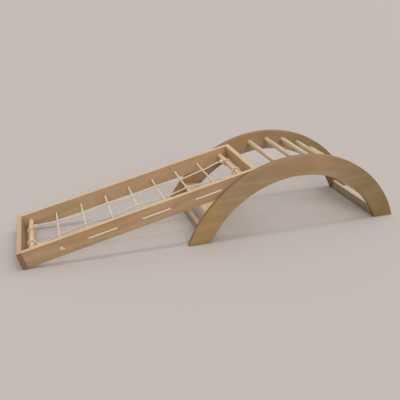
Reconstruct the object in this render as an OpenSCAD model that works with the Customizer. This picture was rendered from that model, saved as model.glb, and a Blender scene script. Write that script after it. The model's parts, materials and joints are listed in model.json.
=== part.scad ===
// Wooden rocker arch with a climbing ramp that hooks onto it.
// Millimetres, +Z up, floor at z = 0. X runs along the ramp, Y across it.
// The origin lies on the floor, in the middle of the whole footprint.

/* [Arch] */
// Outer radius of the two curved sides
arch_r = 500; // [470:5:560]
// Height of the curve's centre below the floor line
arch_sink = 175.5; // [165:0.5:185]
// Radial depth of a curved side
arch_depth = 84; // [80:1:96]
// Thickness of a curved side
arch_t = 18; // [16:0.5:22]
// Overall width of the arch
arch_w = 375; // [355:5:420]
// Bevel along a curved side's edges
arch_bevel = 1.5; // [1:0.5:3]

/* [Rungs] */
// Angle of the first rung, from the right-hand horizontal
rung_first_angle = 99.4; // [98.6:0.2:100.2]
// Angle from one rung to the next
rung_step_angle = 10.2; // [9.6:0.2:10.6]
// Diameter of a round rung
rung_d = 22; // [20:1:26]
// Depth of a rung's middle below the outer curve
rung_inset = 39.5; // [36:0.5:44]

/* [Step boards and foot rails] */
// Height of a step board's top
step_top = 115; // [110:1:122]
// How far a step board's outer edge lies in from the outer curve
step_in = 22; // [16:1:27]
// Width of a step board
step_w = 63; // [54:1:66]
// Thickness of a step board
step_t = 18; // [15:1:21]
// Rounding of a step board's edges
step_ease = 3; // [2:0.5:4]
// Height of a foot rail's top
rail_top = 35; // [30:1:42]
// Gap between a foot rail and the floor
rail_lift = 2; // [1:0.5:4]
// How far a foot rail's inner face lies out from the foot's inner edge
rail_in = 4; // [3:0.5:9]
// Thickness of a foot rail
rail_t = 18; // [15:1:20]
// Rounding of a foot rail's edges
rail_ease = 2; // [1:0.5:3]

/* [Hook dowel] */
// Diameter of the dowel that carries the ramp
hook_d = 20; // [18:1:22]
// Angle of the dowel on the arch
hook_angle = 110.8; // [110:0.2:112]
// Depth of the dowel's middle below the outer curve
hook_inset = 61.7; // [58:0.5:64]
// Gap between the dowel and the ramp's hook
hook_gap = 0.08; // [0.05:0.01:0.1]

/* [Ramp frame] */
// Length of a ramp side, from the foot board to the head board's outer face
ramp_l = 924; // [910:2:950]
// Depth of a ramp board
ramp_h = 67.5; // [64:0.5:76]
// Thickness of the ramp's side and head boards
ramp_t = 18; // [15:0.5:20]
// Gap between the ramp and each curved side
ramp_gap = 4.5; // [4:0.5:8]
// Thickness of the foot board
foot_t = 19; // [15:1:24]
// Distance of the dowel's middle beyond the head board's outer face
hook_out = 13; // [12.5:0.5:16]
// Height of the dowel's middle above the ramp's underside
hook_up = 13; // [12:0.5:15]
// Wood around the dowel in a hook
hook_wall = 10; // [8:0.5:10]
// Rounding of the ramp boards' edges
ramp_ease = 1.5; // [1:0.5:3]

/* [Ramp bars] */
// Diameter of a round bar
bar_d = 20; // [16:1:24]
// Distance of the low bar's middle from the foot board
bar_low = 27; // [25:1:36]
// Distance of the high bar's middle from the head board's outer face
bar_high_in = 54; // [50:1:66]

/* [Net] */
// Diameter of the cord
cord_d = 7; // [6:0.5:8]
// Distance of the first cross run from the foot board
net_first = 133.5; // [125:0.5:140]
// Distance of the last cross run from the arch's outer curve
net_clear = 11; // [10:0.5:16]
// Distance of each lengthwise cord from the middle
net_lane = 55; // [45:1:65]
// Gap around the cord where it passes through a side
cord_gap = 0.5; // [0.4:0.1:1]

/* [Joinery] */
// Diameter of the pins in boards and rails
board_pin_d = 8; // [6:0.5:9]
// Depth of a pin, rung or bar in a side
socket = 12; // [10:0.5:13]
// Depth of a pin in the end of a board
pin_in = 20; // [15:1:25]
// Gap between a pin, rung, bar or screw and its hole
fit = 0.05; // [0.03:0.01:0.08]
// Shank diameter of a foot board screw
screw_d = 4.5; // [4:0.5:5]
// Head diameter of a foot board screw
screw_head_d = 9; // [8:0.5:10]
// Length of a foot board screw
screw_l = 50; // [40:5:60]

/* [Hidden] */
// how many rungs the arch has, and how often the net's cord crosses the ramp
rungs = 6;
runs = 7;
// steps round a true circle, and round a cord
$fn = 64;
cord_sides = 8;
// gap between a cord and what it lies on
lay_gap = 0.3;
// depth of the blind holes past their pins
hole_extra = 1;
// width of a cut that only has to be wider than what it cuts
far = 3000;

// --- arch
inside = arch_w / 2 - arch_t;             // inner face of a curved side
// how far out a circle about the arch's centre reaches at a height above the floor
function reach_at(r, z) = sqrt(r * r - (arch_sink + z) * (arch_sink + z));
foot_out = reach_at(arch_r, 0);
foot_in = reach_at(arch_r - arch_depth, 0);
rung_r = arch_r - rung_inset;
hook_r = arch_r - hook_inset;
step_x = reach_at(arch_r, step_top) - step_in - step_w / 2;
rail_x = foot_in + rail_in + rail_t / 2;
rail_h = rail_top - rail_lift;
dowel_reach = inside + socket - hole_extra;  // half the length of a rung or of the hook dowel
step_pin_off = step_w / 4;                // pins sit at the quarters of a board
rail_pin_off = rail_h / 4;

// --- ramp: s runs up the ramp, h square to it, both from the foot of the side
hook_s = ramp_l + hook_out;
hook_x = hook_r * cos(hook_angle);
hook_z = hook_r * sin(hook_angle) - arch_sink;
// the rounded lower edge of the foot board touches the floor, which sets the ramp's tilt
edge_s = hook_s + foot_t - ramp_ease;     // from the dowel back to the middle of that edge
edge_h = hook_up - ramp_ease;
tilt = asin((hook_z - ramp_ease) / norm([edge_s, edge_h])) - atan(edge_h / edge_s);
foot_x = hook_x - edge_s * cos(tilt) - (ramp_h - ramp_ease - hook_up) * sin(tilt) - ramp_ease;
ramp_out = inside - ramp_gap;             // outer face of a ramp side
ramp_in = ramp_out - ramp_t;
mid_h = ramp_h / 2;
bar_high = ramp_l - bar_high_in;
bar_end = ramp_in + socket;
hook_in_r = hook_d / 2 + hook_gap;
hook_out_r = hook_in_r + hook_wall;
head_s = ramp_l - ramp_t / 2;
pin_rows = [ramp_h / 4, ramp_h * 3 / 4];
screw_rows = [ramp_h * 0.3, ramp_h * 0.7];
screw_head_l = (screw_head_d - screw_d) / 2;

// --- net
// the arch's centre in the ramp's own s and h
centre_s = hook_s - hook_x * cos(tilt) - (hook_z + arch_sink) * sin(tilt);
centre_h = hook_up + hook_x * sin(tilt) - (hook_z + arch_sink) * cos(tilt);
// the last cross run stays clear of the arch, and the others are spaced evenly before it
net_last = centre_s - sqrt(pow(arch_r + net_clear, 2) - pow(mid_h - centre_h, 2));
net_pitch = (net_last - net_first) / (runs - 1);
cord_r = cord_d / 2;
cord_hole_r = cord_r + cord_gap;
turn_r = 6;                               // bend of the cord at a hole
turn_y = ramp_out + cord_r + lay_gap;     // cord's middle on the outer face
mouth = turn_r - cord_r + 1.5;            // flare of a hole's outer end
weave = cord_d + lay_gap;                 // middle to middle where cords cross
wrap_r = bar_d / 2 + cord_r + lay_gap;
knot_r = cord_d;
knot_l = 2 * cord_d;
knot_far = wrap_r + cord_r / 2;           // from the bar's middle to its knot
weave_steps = 6;
wrap_from = 330;
wrap_slip = 5;                            // sideways shift over the wrap

// the whole object is moved so that its footprint is centred
place_x = -(foot_x + foot_out) / 2;

// ---------- places

// the arch's own frame: x = 0 in its middle, z = 0 on the floor
module at_arch() { translate([place_x, 0, 0]) children(); }

// a point of the arch at an angle, with x along the curve and z outwards
module on_curve(angle, r) {
    at_arch() translate([0, 0, -arch_sink]) rotate([0, 90 - angle, 0]) translate([0, 0, r]) children();
}

// the middle of rung i, counted from 1 at the ramp
module at_rung(i) {
    on_curve(rung_first_angle - (i - 1) * rung_step_angle, rung_r) children();
}

// the ramp's own frame: x = s, z = h
module on_ramp() {
    at_arch() translate([hook_x, 0, hook_z]) rotate([0, -tilt, 0])
        translate([-hook_s, 0, -hook_up]) children();
}

// both ends of what lies across: children point from the middle to +Y, then to -Y
module both_ends() {
    children();
    mirror([0, 1, 0]) children();
}

// ---------- shapes

// a rectangle about its middle with rounded corners
module eased(w, h, r) {
    square([w - 2 * r, h], center = true);
    square([w, h - 2 * r], center = true);
    for (x = [-1, 1], y = [-1, 1]) translate([x * (w / 2 - r), y * (h / 2 - r)]) circle(r);
}

// a rectangle about its middle with cut corners
module bevelled(w, h, b) {
    x = w / 2;
    y = h / 2;
    polygon([[x - b, -y], [x, b - y], [x, y - b], [x - b, y],
        [b - x, y], [-x, y - b], [-x, b - y], [b - x, -y]]);
}

// a bar across the object, w along x and t along z, about the origin
module cross_bar(w, t, l, r) {
    rotate([90, 0, 0]) translate([0, 0, -l / 2]) linear_extrude(l) eased(w, t, r);
}

// a round rod along Y from y0 to y1
module rod(d, y0, y1) {
    translate([0, y0, 0]) rotate([-90, 0, 0]) cylinder(d = d, h = y1 - y0);
}

// a round rod along X from x0 to x1
module rod_x(d, x0, x1) {
    translate([x0, 0, 0]) rotate([0, 90, 0]) cylinder(d = d, h = x1 - x0);
}

// ---------- pins and their holes: slack is 0 for a pin and twice the gap for a hole

// a pin across the joint at y = face
module joint_pin(d, face, deep, slack) {
    rod(d + slack, face - pin_in + (slack > 0 ? 0 : hole_extra),
        face + deep - (slack > 0 ? 0 : hole_extra));
}

// pins at the two quarters of a piece that ends at y = face, x apart
module pin_pair_x(d, face, x, slack) {
    for (side = [-1, 1]) translate([side * x, 0, 0]) joint_pin(d, face, socket, slack);
}

// the same, one above the other
module pin_pair_z(d, face, z, slack) {
    for (side = [-1, 1]) translate([0, 0, side * z]) joint_pin(d, face, socket, slack);
}

// every pin at the far side, as pins or as the holes for them
module step_pin_set(slack) {
    for (side = [-1, 1]) at_arch() translate([side * step_x, 0, step_top - step_t / 2])
        pin_pair_x(board_pin_d, inside, step_pin_off, slack);
}
module rail_pin_set(slack) {
    for (side = [-1, 1]) at_arch() translate([side * rail_x, 0, rail_lift + rail_h / 2])
        pin_pair_z(board_pin_d, inside, rail_pin_off, slack);
}
module head_pin_set(slack) {
    for (h = pin_rows) on_ramp() translate([head_s, 0, h])
        joint_pin(board_pin_d, ramp_in, socket, slack);
}

// a foot board screw along +X, its head's flat at the outer face
module screw(slack) {
    translate([-foot_t, 0, 0]) {
        rod_x(screw_d + slack, 0, screw_l);
        rotate([0, 90, 0]) cylinder(d1 = screw_head_d + slack, d2 = screw_d + slack, h = screw_head_l);
    }
}
module screw_set(slack) {
    for (h = screw_rows) on_ramp() translate([0, (ramp_in + ramp_out) / 2, h]) screw(slack);
}

// ---------- arch

module arch_side() {
    difference() {
        intersection() {
            at_arch() translate([0, inside + arch_t / 2, -arch_sink]) rotate([90, 0, 0])
                rotate_extrude($fn = 180) translate([arch_r - arch_depth / 2, 0])
                bevelled(arch_depth, arch_t, arch_bevel);
            at_arch() translate([-arch_r, 0, 0]) cube([2 * arch_r, arch_w, arch_r]);
        }
        for (i = [1:rungs]) at_rung(i) rod(rung_d + 2 * fit, 0, inside + socket);
        step_pin_set(2 * fit);
        rail_pin_set(2 * fit);
        on_curve(hook_angle, hook_r) rod(hook_d + 2 * fit, 0, inside + socket);
    }
}
module arch_side_far() { color("burlywood") arch_side(); }
module arch_side_near() { color("burlywood") mirror([0, 1, 0]) arch_side(); }

module arch_rung(i) { color("wheat") at_rung(i) rod(rung_d, -dowel_reach, dowel_reach); }
module arch_rung_1() { arch_rung(1); }
module arch_rung_2() { arch_rung(2); }
module arch_rung_3() { arch_rung(3); }
module arch_rung_4() { arch_rung(4); }
module arch_rung_5() { arch_rung(5); }
module arch_rung_6() { arch_rung(6); }

module hook_dowel() {
    color("tan") on_curve(hook_angle, hook_r) rod(hook_d, -dowel_reach, dowel_reach);
}

module step_board(side) {
    color("wheat") difference() {
        at_arch() translate([side * step_x, 0, step_top - step_t / 2])
            cross_bar(step_w, step_t, 2 * inside, step_ease);
        both_ends() step_pin_set(2 * fit);
    }
}
module step_board_left() { step_board(-1); }
module step_board_right() { step_board(1); }

module foot_rail(side) {
    color("burlywood") difference() {
        at_arch() translate([side * rail_x, 0, rail_lift + rail_h / 2])
            cross_bar(rail_t, rail_h, 2 * inside, rail_ease);
        both_ends() rail_pin_set(2 * fit);
    }
}
module foot_rail_left() { foot_rail(-1); }
module foot_rail_right() { foot_rail(1); }

module step_board_pins() { color("peru") both_ends() step_pin_set(0); }
module foot_rail_pins() { color("peru") both_ends() rail_pin_set(0); }

// ---------- ramp frame

// outline of a ramp side in s and h: a long board whose upper end is a hook, open below
module side_outline() {
    difference() {
        union() {
            square([ramp_l, ramp_h]);
            intersection() {
                translate([hook_s, hook_up]) circle(hook_out_r);
                translate([ramp_l - hook_out_r, 0]) square([far, far]);
            }
        }
        translate([hook_s, hook_up]) circle(hook_in_r);
        translate([hook_s - hook_in_r, -far]) square([2 * hook_in_r, far + hook_up]);
    }
}

module ramp_side() {
    side_y = (ramp_in + ramp_out) / 2;
    difference() {
        intersection() {
            on_ramp() translate([0, ramp_out, 0]) rotate([90, 0, 0])
                linear_extrude(ramp_t) side_outline();
            on_ramp() translate([0, side_y, mid_h]) rotate([90, 0, 90])
                linear_extrude(ramp_l + hook_out + 2 * hook_out_r) eased(ramp_t, ramp_h, ramp_ease);
        }
        for (s = [bar_low, bar_high]) on_ramp() translate([s, 0, mid_h])
            rod(bar_d + 2 * fit, 0, bar_end);
        for (i = [0:runs - 1]) on_ramp() translate([net_first + i * net_pitch, 0, mid_h]) {
            rod(2 * cord_hole_r, 0, arch_w);
            translate([0, ramp_out, 0]) rotate([90, 0, 0])
                cylinder(r1 = cord_hole_r + mouth, r2 = cord_hole_r, h = mouth);
        }
        head_pin_set(2 * fit);
        screw_set(2 * fit);
    }
}
module ramp_side_far() { color("burlywood") ramp_side(); }
module ramp_side_near() { color("burlywood") mirror([0, 1, 0]) ramp_side(); }

module ramp_foot_board() {
    color("burlywood") difference() {
        on_ramp() translate([-foot_t / 2, 0, mid_h]) cross_bar(foot_t, ramp_h, 2 * ramp_out, ramp_ease);
        both_ends() screw_set(2 * fit);
    }
}

module ramp_head_board() {
    color("burlywood") difference() {
        on_ramp() translate([head_s, 0, mid_h]) cross_bar(ramp_t, ramp_h, 2 * ramp_in, ramp_ease);
        both_ends() head_pin_set(2 * fit);
    }
}

module ramp_bar(s) {
    reach = bar_end - hole_extra;
    color("wheat") on_ramp() translate([s, 0, mid_h]) rod(bar_d, -reach, reach);
}
module ramp_bar_low() { ramp_bar(bar_low); }
module ramp_bar_high() { ramp_bar(bar_high); }

module foot_board_screws() {
    recess = screw_head_d * 0.5;
    slot = 1.2;
    color("silver") difference() {
        both_ends() screw_set(0);
        both_ends() for (h = screw_rows) on_ramp() translate([-foot_t, (ramp_in + ramp_out) / 2, h])
            for (turn = [0, 90]) rotate([turn, 0, 0]) cube([2 * slot, recess, slot], center = true);
    }
}

module head_board_pins() { color("peru") both_ends() head_pin_set(0); }

// ---------- net

function unit(v) = v / norm(v);
function tangents(p) = let (last = len(p) - 1)
    [for (i = [0:last]) unit(p[min(i + 1, last)] - p[max(i - 1, 0)])];
// a direction square to each tangent, carried on from ring to ring
function sides_on(t, first, i = 0, done = []) = i == len(t) ? done :
    let (from = i == 0 ? first : done[i - 1], flat = from - (from * t[i]) * t[i])
    sides_on(t, first, i + 1, concat(done, [unit(flat)]));

// a closed tube along the points p, with its first side facing about along "first"
module tube(p, r, first) {
    n = cord_sides;
    t = tangents(p);
    a = sides_on(t, first);
    rings = [for (i = [0:len(p) - 1]) for (j = [0:n - 1])
        let (q = 360 * j / n, b = cross(t[i], a[i])) p[i] + r * (cos(q) * a[i] + sin(q) * b)];
    last = (len(p) - 1) * n;
    walls = [for (i = [0:len(p) - 2]) for (j = [0:n - 1])
        let (k = i * n + j, m = i * n + (j + 1) % n) each [[k, k + n, m + n], [k, m + n, m]]];
    caps = [[for (j = [0:n - 1]) j], [for (j = [n - 1:-1:0]) last + j]];
    polyhedron(points = rings, faces = concat(walls, caps));
}

// quarter bend from a cross run into the run along the outer face, side is +1 or -1
function bend_out(s, side) = [for (q = [0:30:90])
    [s + turn_r - turn_r * cos(q), side * (turn_y - turn_r + turn_r * sin(q)), mid_h]];
// and back through the next hole
function bend_in(s, side) = [for (q = [90:-30:0])
    [s - turn_r + turn_r * cos(q), side * (turn_y - turn_r + turn_r * sin(q)), mid_h]];

function run_s(i) = net_first + i * net_pitch;
function run_side(i) = i % 2 == 0 ? 1 : -1;
cord_end = ramp_out + lay_gap;
// one cord laced to and fro: in at the near side of run 0, out at the far side of the last
lace = concat([[run_s(0), -cord_end, mid_h]],
    [for (i = [0:runs - 2]) each concat(bend_out(run_s(i), run_side(i)),
        bend_in(run_s(i + 1), run_side(i)))],
    [[run_s(runs - 1), cord_end, mid_h]]);

// the lengthwise cord: wraps the low bar, weaves over and under the runs, wraps the high bar
function wrap_low(y, over) = concat(
    [let (q = wrap_from) [bar_low + wrap_r * cos(q) + cord_d * 0.6, y + wrap_slip,
        mid_h + over * (wrap_r * sin(q) + cord_d)]],
    [for (q = [wrap_from:-30:90]) [bar_low + wrap_r * cos(q),
        y + wrap_slip * (q - 90) / (wrap_from - 90), mid_h + over * wrap_r * sin(q)]]);
function wrap_high(y, over) = let (p = wrap_low(y, over), last = len(p) - 1)
    [for (i = [0:last]) [bar_high + bar_low - p[last - i][0], p[last - i][1], p[last - i][2]]];
// height of the cord between two heights, u from 0 to 1 and level at both ends
function ease_h(from, to, u) = from + (to - from) * (1 - cos(180 * u)) / 2;
function weave_h(i) = mid_h + weave * run_side(i);
function flipped(h, over) = mid_h + over * (h - mid_h);
function long_cord(y, over) = concat(wrap_low(y, over),
    [for (k = [0:weave_steps - 1]) let (u = k / weave_steps, from = bar_low + knot_far + knot_l)
        [from + (run_s(0) - from) * u, y, flipped(ease_h(mid_h + wrap_r, weave_h(0), u), over)]],
    [for (i = [0:runs - 2]) for (k = [0:weave_steps - 1]) let (u = k / weave_steps)
        [run_s(i) + net_pitch * u, y, flipped(ease_h(weave_h(i), weave_h(i + 1), u), over)]],
    [for (k = [0:weave_steps]) let (u = k / weave_steps, to = bar_high - knot_far - knot_l)
        [run_s(runs - 1) + (to - run_s(runs - 1)) * u, y,
            flipped(ease_h(weave_h(runs - 1), mid_h + wrap_r, u), over)]],
    wrap_high(y, over));

module net_cross_cord() { color("oldlace") on_ramp() tube(lace, cord_r, [0, 0, 1]); }
module net_long_cord_near() {
    color("oldlace") on_ramp() tube(long_cord(-net_lane, -1), cord_r, [0, 1, 0]);
}
module net_long_cord_far() {
    color("oldlace") on_ramp() tube(long_cord(net_lane, 1), cord_r, [0, 1, 0]);
}

// a stopper knot on the outer face, axis along +Y
module end_knot() {
    rotate([-90, 0, 0]) rotate_extrude($fn = 32) {
        square([knot_r - cord_r / 2, knot_l * 0.75]);
        translate([0, cord_r / 2]) square([knot_r, knot_l * 0.75 - cord_r]);
        for (z = [cord_r / 2, knot_l * 0.75 - cord_r / 2])
            translate([knot_r - cord_r / 2, z]) circle(cord_r / 2);
    }
}
module net_end_knots() {
    color("oldlace") on_ramp() {
        translate([run_s(runs - 1), cord_end, mid_h]) end_knot();
        translate([run_s(0), -cord_end, mid_h]) mirror([0, 1, 0]) end_knot();
    }
}

// the knot that holds a lengthwise cord to its bar: a barrel round the cord, axis along +X
module bar_knot() {
    rotate([0, 90, 0]) rotate_extrude($fn = 32) difference() {
        union() {
            square([knot_r - cord_r / 2, knot_l]);
            translate([0, cord_r / 2]) square([knot_r, knot_l - cord_r]);
            for (z = [cord_r / 2, knot_l - cord_r / 2])
                translate([knot_r - cord_r / 2, z]) circle(cord_r / 2);
        }
        translate([0, -1]) square([cord_r + lay_gap, knot_l + 2]);
    }
}
module net_bar_knots() {
    color("oldlace") on_ramp() for (side = [[-net_lane, -1], [net_lane, 1]]) {
        h = mid_h + side[1] * wrap_r;
        translate([bar_low + knot_far, side[0], h]) bar_knot();
        translate([bar_high - knot_far - knot_l, side[0], h]) bar_knot();
    }
}

arch_side_near();
arch_side_far();
arch_rung_1();
arch_rung_2();
arch_rung_3();
arch_rung_4();
arch_rung_5();
arch_rung_6();
hook_dowel();
step_board_left();
step_board_right();
foot_rail_left();
foot_rail_right();
step_board_pins();
foot_rail_pins();
ramp_side_near();
ramp_side_far();
ramp_foot_board();
ramp_head_board();
ramp_bar_low();
ramp_bar_high();
foot_board_screws();
head_board_pins();
net_cross_cord();
net_long_cord_near();
net_long_cord_far();
net_end_knots();
net_bar_knots();
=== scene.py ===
# %% [markdown]
# # A wooden rocker arch and the net ramp that hooks onto it
# The CAD model is the fixed frame: every board, rung and pin stands where it was drawn, in metres.
# Blender adds what a CAD solid can't say: the grain and the plies of the wood, the lay of the rope,
# the knots, and the light. The wood keeps its CAD meshes and gets materials. The net's smooth tubes
# are replaced with laid rope on the same routes.

# %% Load the frame
import json
import math

import bpy
import numpy as np
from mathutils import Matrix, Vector


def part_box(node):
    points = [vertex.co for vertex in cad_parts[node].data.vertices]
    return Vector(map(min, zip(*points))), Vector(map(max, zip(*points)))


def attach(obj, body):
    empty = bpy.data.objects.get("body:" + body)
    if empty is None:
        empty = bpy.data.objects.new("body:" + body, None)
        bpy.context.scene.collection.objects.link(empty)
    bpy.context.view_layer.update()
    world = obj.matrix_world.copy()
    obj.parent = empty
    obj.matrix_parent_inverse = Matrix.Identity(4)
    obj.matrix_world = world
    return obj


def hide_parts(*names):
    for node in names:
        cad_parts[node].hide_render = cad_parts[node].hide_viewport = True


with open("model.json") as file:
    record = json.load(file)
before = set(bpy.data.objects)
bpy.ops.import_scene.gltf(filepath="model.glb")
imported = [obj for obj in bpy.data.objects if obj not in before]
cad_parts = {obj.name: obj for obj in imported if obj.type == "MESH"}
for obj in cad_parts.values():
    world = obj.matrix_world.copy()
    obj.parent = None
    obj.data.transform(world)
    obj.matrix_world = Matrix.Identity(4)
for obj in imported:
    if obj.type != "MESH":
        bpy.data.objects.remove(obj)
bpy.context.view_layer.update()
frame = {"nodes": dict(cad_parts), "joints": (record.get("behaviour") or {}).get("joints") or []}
nodes = frame["nodes"]

# %% [markdown]
# ## Camera
# The photograph was taken standing up, from the near side and to the left of the arch. The camera's
# place, heading and lens were found by fitting the model's edges to the picture, so here they are plain
# numbers. A look-at constraint would do the same job, but two angles are easier to read and to change.

# %% Camera
CAMERA_AT = (-0.62931, -1.84351, 0.97019)
HEADING = 0.31837                  # radians to the right of +Y
DIP = 0.42063                      # radians below the horizon
LENS, SENSOR = 45.40, 36           # mm: focal length, and the sensor's width
SHIFT = -0.015                     # of the picture's width
NEAREST = 0.05                     # metres: nothing nearer than this is drawn

camera_data = bpy.data.cameras.new("camera")
camera_data.lens = LENS
camera_data.sensor_width = SENSOR
camera_data.shift_x = SHIFT
camera_data.clip_start = NEAREST
camera = bpy.data.objects.new("camera", camera_data)
camera.location = CAMERA_AT
camera.rotation_euler = (math.pi / 2 - DIP, 0, -HEADING)
bpy.context.scene.collection.objects.link(camera)
bpy.context.scene.camera = camera
print("camera at", CAMERA_AT, "lens", LENS)

# %% [markdown]
# ## The ramp's own directions
# The ramp is a straight frame that leans on the arch, so its cords are simplest to lay out in its own
# directions: s up the ramp from its foot, y across it, and h square to it. One function turns them
# into the frame's coordinates. It starts from the hinge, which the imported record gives.

# %% Ramp coordinates
MM = 0.001
TILT = math.radians(13.4213)
HOOK_S, HOOK_H = 937, 13           # the hinge in the ramp's own millimetres
UP_RAMP = np.array([math.cos(TILT), 0, math.sin(TILT)])
OFF_RAMP = np.array([-math.sin(TILT), 0, math.cos(TILT)])
hinge = np.array(frame["joints"][0]["pos_m"], float)


def on_ramp(points):
    """Row frame = hinge + (s - hook s) up the ramp + y across + (h - hook h) square to the ramp."""
    s, y, h = np.moveaxis(np.asarray(points, float), -1, 0)
    return (hinge + np.multiply.outer((s - HOOK_S) * MM, UP_RAMP)
            + np.multiply.outer(y * MM, np.array([0, 1, 0]))
            + np.multiply.outer((h - HOOK_H) * MM, OFF_RAMP))


print("foot of the ramp:", np.round(on_ramp((0, 0, 0)), 4).tolist())

# %% [markdown]
# ## The net's cords, first as lines
# The net is one cord laced to and fro through seven holes in each side, and two lengthwise cords woven
# over and under it and tied to a round bar at each end. A curve object could carry such a route, but
# numpy arrays give the length at once and let the same line carry rope, so each route is a list of
# points in millimetres. The numbers are the CAD source's own, with one more thing that rope does: where
# two cords cross, each gives way by half a cord.

# %% Route of the laced cord
CORD_R = 3.5
FIRST_RUN, RUN_GAP, RUNS = 133.5, 104.6714, 7
MID_H = 33.75                      # half the ramp's depth
LANE = 55                          # sideways place of each lengthwise cord
GIVE, GIVE_WIDTH = 3.65, 34        # how far a cord gives way at a crossing, and over what length
TURN_R, TURN_Y = 6, 168.8          # bend at a hole, and the cord's middle on the outer face
KNOT_FACE = 165.3                  # the outer face, plus a hair
TUCK = 5                           # how far an end runs on into its knot
RUN_END = 150                      # a run is straight to here, inside its hole, on either side
run_at = FIRST_RUN + RUN_GAP * np.arange(RUNS)
over_run = np.where(np.arange(RUNS) % 2 == 0, 1, -1)    # the far cord goes over runs 1, 3, 5 and 7
quarter = np.radians(np.arange(0, 91, 6))


def give_way(y):
    """1 at the middle of a crossing, falling to 0 as half a cosine wave on either side of it."""
    return np.where(np.abs(y) < GIVE_WIDTH, (1 + np.cos(np.pi * y / GIVE_WIDTH)) / 2, 0)


def laced_route():
    """A run goes straight across and gives way down under a cord and up over one. Then comes a quarter
    circle out of its hole and one into the next, on the far side after an even run and on the near side
    after an odd one. All the runs are worked out at once, one per row, and so are all the bends."""
    side = over_run[:-1, None]
    out_s = run_at[:-1, None] + TURN_R * (1 - np.cos(quarter))
    in_s = run_at[1:, None] - TURN_R * (1 - np.cos(quarter[::-1]))
    reach = side * (TURN_Y - TURN_R + TURN_R * np.sin(quarter))
    s, y = np.hstack([out_s, in_s]), np.hstack([reach, reach[:, ::-1]])
    bends = np.stack([s, y, np.full(s.shape, MID_H)], 2)
    y = over_run[:, None] * np.linspace(-RUN_END, RUN_END, 61)
    dip = GIVE * over_run[:, None] * (give_way(y + LANE) - give_way(y - LANE))
    across = np.stack([np.broadcast_to(run_at[:, None], y.shape), y, MID_H + dip], 2)
    laced = np.vstack([np.hstack([across[:-1], bends]).reshape(-1, 3), across[-1]])
    return np.vstack([(run_at[0], -KNOT_FACE - TUCK, MID_H), laced,
                      (run_at[-1], KNOT_FACE + TUCK, MID_H)])


def length_of(route):
    """Sum of the distances from point to point, in millimetres."""
    return np.linalg.norm(np.diff(route, axis=0), axis=1).sum()


lace = laced_route()
print("laced cord: %d points, %.2f m" % (len(lace), length_of(lace) * MM))

# %% [markdown]
# A lengthwise cord comes out of its knot, goes once round the low bar, back through the knot, over one
# run and under the next, and ends the same way at the high bar. Between two runs its height follows
# half a cosine wave, which is level where it lies on a run.

# %% Routes of the lengthwise cords
BAR_LOW, BAR_HIGH = 27, 870
WRAP_R = 13.8                      # cord's middle to the bar's middle
SLIP = 5                           # how far the turn round the bar shifts sideways
KNOT_FAR, KNOT_L = 15.55, 14       # from the bar's middle to its knot, and the knot's length
COIL_R, COIL_CORD_R = 5.0, 2.9     # the knot's turns: their middle, and the pulled-tight cord
TURN_FROM, TURN_TO = 330, 90       # degrees round the bar, seen from the near side
RISE = ((18.0, 7.0), (14.6, -2.3)) # s and h of the two points that bend the rise out of the knot


def bar_turn():
    """One end, as s from the bar's middle, sideways shift, and height above the ramp's middle.
    It rises out of the knot's first turn on a cubic curve with two points to bend it, circles the bar
    while its sideways shift runs out evenly with the angle, and leaves level."""
    q = np.radians(np.arange(TURN_FROM, TURN_TO - 1, -6))
    left = (np.degrees(q) - TURN_TO) / (TURN_FROM - TURN_TO)
    circle = np.stack([WRAP_R * np.cos(q), SLIP * left, WRAP_R * np.sin(q)], 1)
    t = np.linspace(0, 1, 9)[:-1, None]
    start, end = np.array([KNOT_FAR + COIL_CORD_R, SLIP, WRAP_R]), circle[0]
    first, second = (np.array([s, SLIP, h]) for s, h in RISE)
    rise = (start * (1 - t) ** 3 + 3 * first * t * (1 - t) ** 2 + 3 * second * t ** 2 * (1 - t)
            + end * t ** 3)
    return np.vstack([rise, circle])


def lengthwise_route(lane, over):
    """Low turn, weave and high turn in a line; over is 1 for a cord above the first run, -1 below."""
    low = bar_turn()
    high = low[::-1] * (-1, 1, 1)
    knot_out = KNOT_FAR + KNOT_L
    stops = np.concatenate([[BAR_LOW + knot_out], run_at, [BAR_HIGH - knot_out]])
    heights = np.concatenate([[WRAP_R], GIVE * over_run, [WRAP_R]])
    u = np.linspace(0, 1, 13)[:-1]
    s = (stops[:-1, None] + np.diff(stops)[:, None] * u).ravel()
    h = (heights[:-1, None] + np.diff(heights)[:, None] * (1 - np.cos(np.pi * u)) / 2).ravel()
    weave = np.stack([s, 0 * s, h], 1)
    line = np.vstack([low + (BAR_LOW, 0, 0), weave, (stops[-1], 0, WRAP_R), high + (BAR_HIGH, 0, 0)])
    return line * (1, 1, over) + (0, lane, MID_H)


lengthwise = {"near": lengthwise_route(-LANE, -1), "far": lengthwise_route(LANE, 1)}
for name, route in lengthwise.items():
    print("lengthwise cord, %s: %d points, %.3f m" % (name, len(route), length_of(route) * MM))

# %% [markdown]
# ## Laid rope
# The cord is three strands twisted together. Three separate tubes could be wound round each other, but
# they would cut through one another in the middle. One surface is cleaner: a ring whose outline is that
# of three round strands, carried along the route and turned as it goes. Each point also keeps where it
# is round the rope and how far along, so that the material's fibres can follow the rope round a bend.

# %% Rope surface
LAY = 22                           # millimetres in which the strands go once round
STRAND_R, STRAND_OFF = 0.53, 0.47  # a strand's radius and place, in rope radii
ROPE_SIDES, ROPE_STEP = 24, 2.2    # points round the rope, and millimetres from ring to ring
END_RINGS = np.array([0.25, 1.0])  # millimetres from an end, where two more rings round it off
END_SIZE = 0.15                    # what is left of the rope's thickness at its very end
SAME_POINT = 1e-6                  # two points this near are one
ACROSS, SQUARE = (0, 1, 0), (0, 0, 1)   # where a rope's rings start: across the ramp, or square to it


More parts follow.
